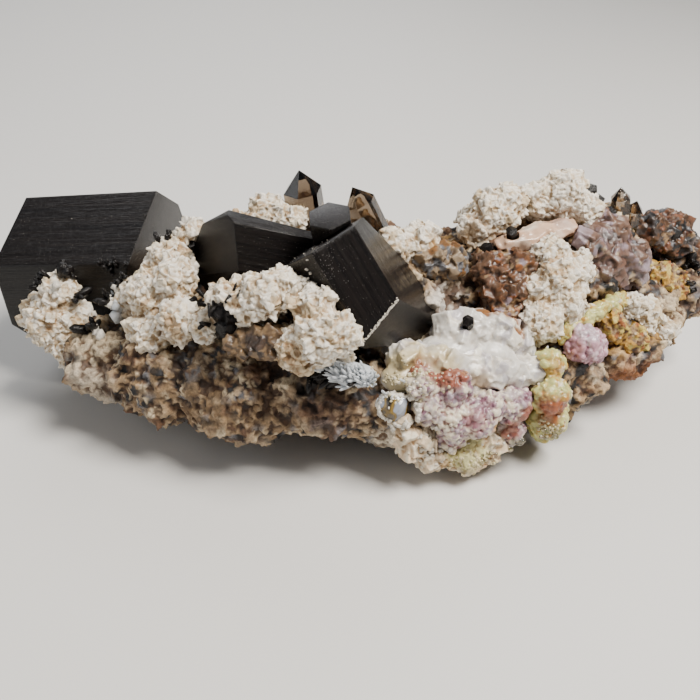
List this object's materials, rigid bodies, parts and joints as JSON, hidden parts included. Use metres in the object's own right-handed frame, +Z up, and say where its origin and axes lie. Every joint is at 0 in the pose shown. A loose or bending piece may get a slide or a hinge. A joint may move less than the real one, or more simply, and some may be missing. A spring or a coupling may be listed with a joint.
{
  "type": "mineral specimen",
  "caption": "Loose cabinet specimen of black tourmaline crystals on a lumpy feldspar matrix with quartz points and coloured opal crusts, lying on its flat underside.",
  "frame": {"origin": "bottom centre of the whole specimen, on the surface it rests on", "axes": "+X along the specimen's length, to the right of the show side, -Y towards the viewer of the show side, +Z up"},
  "size_m": [0.1368, 0.067, 0.0434],
  "materials": {
    "tourmaline": "jet black, glossy, finely grooved along the crystals",
    "smoky_quartz": "clear smoky brown, glassy",
    "pale_quartz": "clear grey blue, glassy",
    "matrix_rock": "sugary tan and brown, matte",
    "feldspar": "cream white, crumbly, matte",
    "white_hyalite": "milky white, smooth, glassy",
    "green_hyalite": "pale yellow green, glassy",
    "purple_opal": "purple to orange red, small round lumps, waxy",
    "pink_opal": "pink lavender, small round lumps, waxy",
    "iron_stained_rock": "iron brown, matte",
    "lavender_rock": "grey brown to lavender, smooth, matte",
    "dark_rock": "dark brown with orange, part glossy",
    "ochre_rock": "ochre yellow, matte",
    "mica": "brown, flaky, shiny",
    "porcelain_rock": "pink cream, smooth, like porcelain"
  },
  "bodies": {
    "root": {"tourmaline_centre": "tourmaline", "tourmaline_behind": "tourmaline", "tourmaline_middle": "tourmaline", "tourmaline_left": "tourmaline", "tourmaline_under_centre": "tourmaline", "tourmaline_between_a": "tourmaline", "tourmaline_ridge_a": "tourmaline", "tourmaline_ridge_b": "tourmaline", "tourmaline_ridge_c": "tourmaline", "tourmaline_notch": "tourmaline", "tourmaline_bead": "tourmaline", "tourmaline_dome": "tourmaline", "tourmaline_tail": "tourmaline", "tourmaline_tail_back": "tourmaline", "tourmaline_cluster": "tourmaline", "quartz_back_left": "smoky_quartz", "quartz_back_right": "smoky_quartz", "quartz_right_a": "smoky_quartz", "quartz_right_b": "smoky_quartz", "quartz_golden": "smoky_quartz", "quartz_eye": "pale_quartz", "quartz_blue": "pale_quartz", "matrix": "matrix_rock", "feldspar_left": "feldspar", "feldspar_between": "feldspar", "feldspar_middle": "feldspar", "feldspar_centre": "feldspar", "feldspar_back": "feldspar", "feldspar_rear": "feldspar", "feldspar_knob": "feldspar", "feldspar_shoulder": "feldspar", "feldspar_right": "feldspar", "feldspar_ledge": "feldspar", "feldspar_foot": "feldspar", "hyalite_dome": "white_hyalite", "hyalite_sheet": "white_hyalite", "hyalite_green": "green_hyalite", "hyalite_ridge": "green_hyalite", "opal_crust": "purple_opal", "opal_pink": "pink_opal", "iron_stained_quartz": "iron_stained_rock", "lavender_rock": "lavender_rock", "dark_knob": "dark_rock", "yellow_knob": "ochre_rock", "ochre_step": "ochre_rock", "mica_lens": "mica", "porcelain_slab": "porcelain_rock"}
  },
  "joints": []
}
